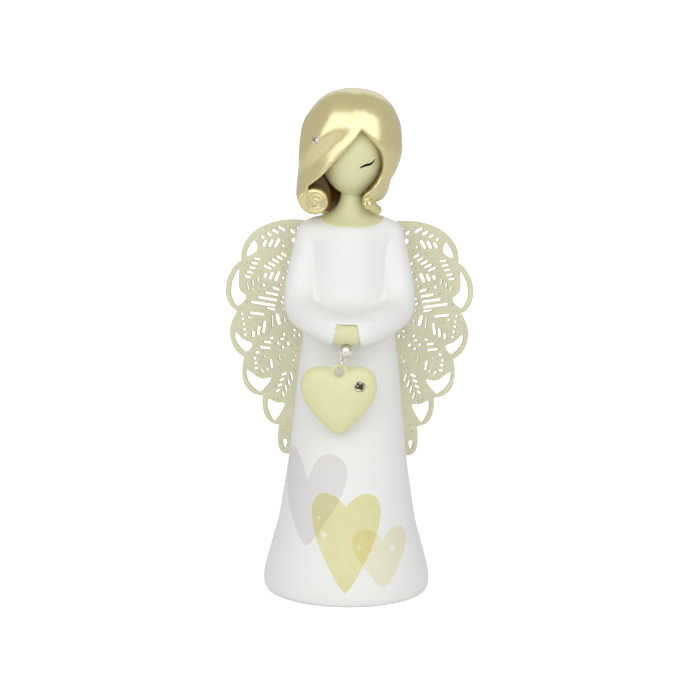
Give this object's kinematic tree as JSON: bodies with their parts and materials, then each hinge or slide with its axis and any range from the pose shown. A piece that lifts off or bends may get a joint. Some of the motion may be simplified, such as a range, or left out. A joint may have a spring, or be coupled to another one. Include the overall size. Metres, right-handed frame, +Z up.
{
  "type": "angel figurine",
  "caption": "Standing angel figurine in a long gown with clasped hands, cut-out wings at the back and a puffed heart hanging from a bead and ring.",
  "frame": {"origin": "centre of the gown's flat base, on the surface the figurine stands on", "axes": "+Z up, -Y to the figurine's front, +X to the left hand of the figurine, which is the viewer's right"},
  "size_m": [0.0778, 0.0496, 0.155],
  "materials": {
    "gown_resin": "satin white paint on cast resin",
    "skin_resin": "satin cream paint on cast resin",
    "hair_pearl": "pearl gold paint on cast resin",
    "wing_metal": "matte cream paint on cut sheet metal",
    "silver": "polished silver plate",
    "heart_resin": "satin cream paint on cast resin",
    "crystal": "clear cut stone with a foil back"
  },
  "bodies": {
    "root": {"gown": "gown_resin", "hands": "skin_resin", "head": "skin_resin", "hair": "hair_pearl", "wing_left": "wing_metal", "wing_right": "wing_metal", "eye_pin": "silver", "hair_crystal": "crystal"},
    "bead": {"bead": "silver"},
    "ring": {"jump_ring": "silver"},
    "heart": {"heart_charm": "heart_resin", "heart_crystal": "crystal"}
  },
  "joints": [
    {"name": "bead_spin", "type": "hinge", "parent": "root", "child": "bead", "pos_m": [-0.00086, -0.021, 0.07845], "axis": [-0.3502, 0, -0.9367], "continuous": true},
    {"name": "ring_swing", "type": "hinge", "parent": "root", "child": "ring", "pos_m": [-0.00195, -0.021, 0.07553], "axis": [-0.9367, 0, 0.3502], "range_deg": [-8, 45]},
    {"name": "heart_swing", "type": "hinge", "parent": "ring", "child": "heart", "pos_m": [-0.00282, -0.021, 0.0732], "axis": [0, 1, 0], "range_deg": [-25, 25]}
  ]
}
